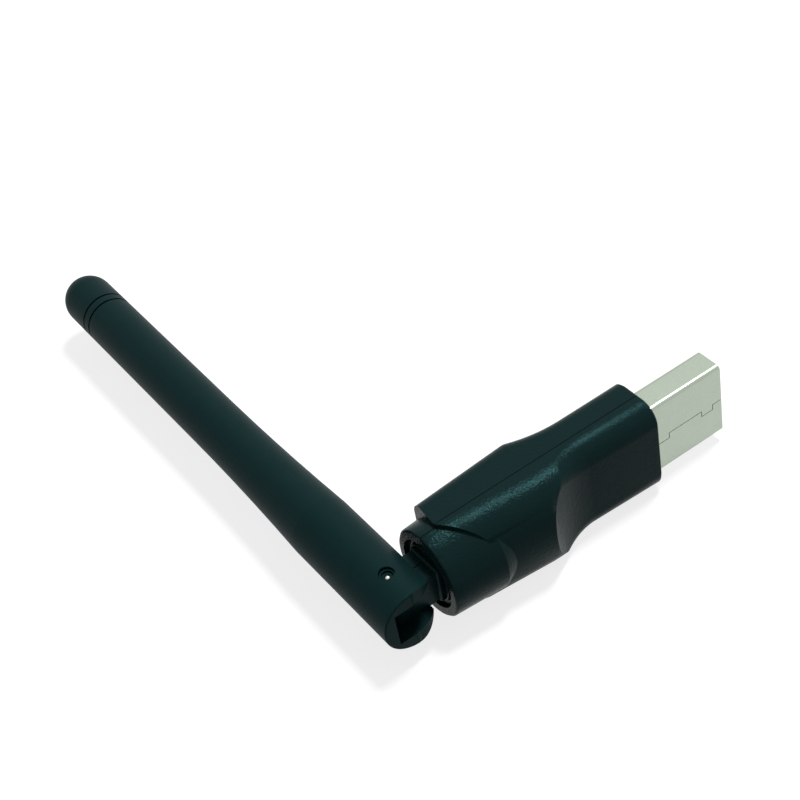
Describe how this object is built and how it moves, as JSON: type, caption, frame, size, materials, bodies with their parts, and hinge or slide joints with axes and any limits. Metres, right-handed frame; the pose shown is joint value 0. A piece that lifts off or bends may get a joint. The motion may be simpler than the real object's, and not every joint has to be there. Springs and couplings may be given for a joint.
{
  "type": "bluetooth usb dongle",
  "caption": "Bluetooth USB dongle with a scooped plastic housing, a metal USB-A plug and a folding rod antenna on a turning collar.",
  "frame": {"origin": "centre of the housing's end face, on the axis of the USB plug", "axes": "+X out of the plug, +Y along the folded antenna, +Z across the plug's wide side; at rest the dongle lies on its lower narrow side"},
  "size_m": [0.0586, 0.0942, 0.0152],
  "materials": {
    "housing_plastic": "satin black moulded plastic with a fine spark grain",
    "sleeve_plastic": "matt black soft plastic",
    "swivel_plastic": "satin black plastic",
    "plug_metal": "nickel-plated sheet",
    "contact_metal": "gold-plated",
    "insulator_plastic": "moulded white nylon",
    "board_laminate": "green solder mask",
    "chip_plastic": "moulded epoxy",
    "can_metal": "plain metal can",
    "ceramic": "ceramic with tinned ends",
    "lead_jacket": "smooth fluoropolymer jacket",
    "pin_steel": "bright drawn pin",
    "balun_brass": "drawn brass tube",
    "wire_copper": "bare copper wire",
    "spacer_plastic": "natural plastic"
  },
  "bodies": {
    "dongle": {"housing_front": "housing_plastic", "housing_rear": "housing_plastic", "usb_shell": "plug_metal", "usb_insulator": "insulator_plastic", "contact_power": "contact_metal", "contact_data_minus": "contact_metal", "contact_data_plus": "contact_metal", "contact_ground": "contact_metal", "circuit_board": "board_laminate", "radio_chip": "chip_plastic", "crystal": "can_metal", "voltage_regulator": "chip_plastic", "board_passives": "ceramic", "board_coax": "lead_jacket"},
    "swivel": {"swivel_front": "swivel_plastic", "swivel_rear": "swivel_plastic", "swivel_coax": "lead_jacket"},
    "antenna": {"hinge_pin": "pin_steel", "antenna_knuckle": "sleeve_plastic", "antenna_sleeve": "sleeve_plastic", "antenna_coax": "lead_jacket", "balun_tube": "balun_brass", "radiator_wire": "wire_copper", "balun_spacer": "spacer_plastic", "radiator_spacer": "spacer_plastic"}
  },
  "joints": [
    {"name": "swivel_turn", "type": "hinge", "parent": "dongle", "child": "swivel", "pos_m": [-0.0361, 0, 0], "axis": [1, 0, 0], "range_deg": [-90, 90]},
    {"name": "antenna_tilt", "type": "hinge", "parent": "swivel", "child": "antenna", "pos_m": [-0.0417, 0, 0], "axis": [0, 0, 1], "range_deg": [0, 90]}
  ]
}
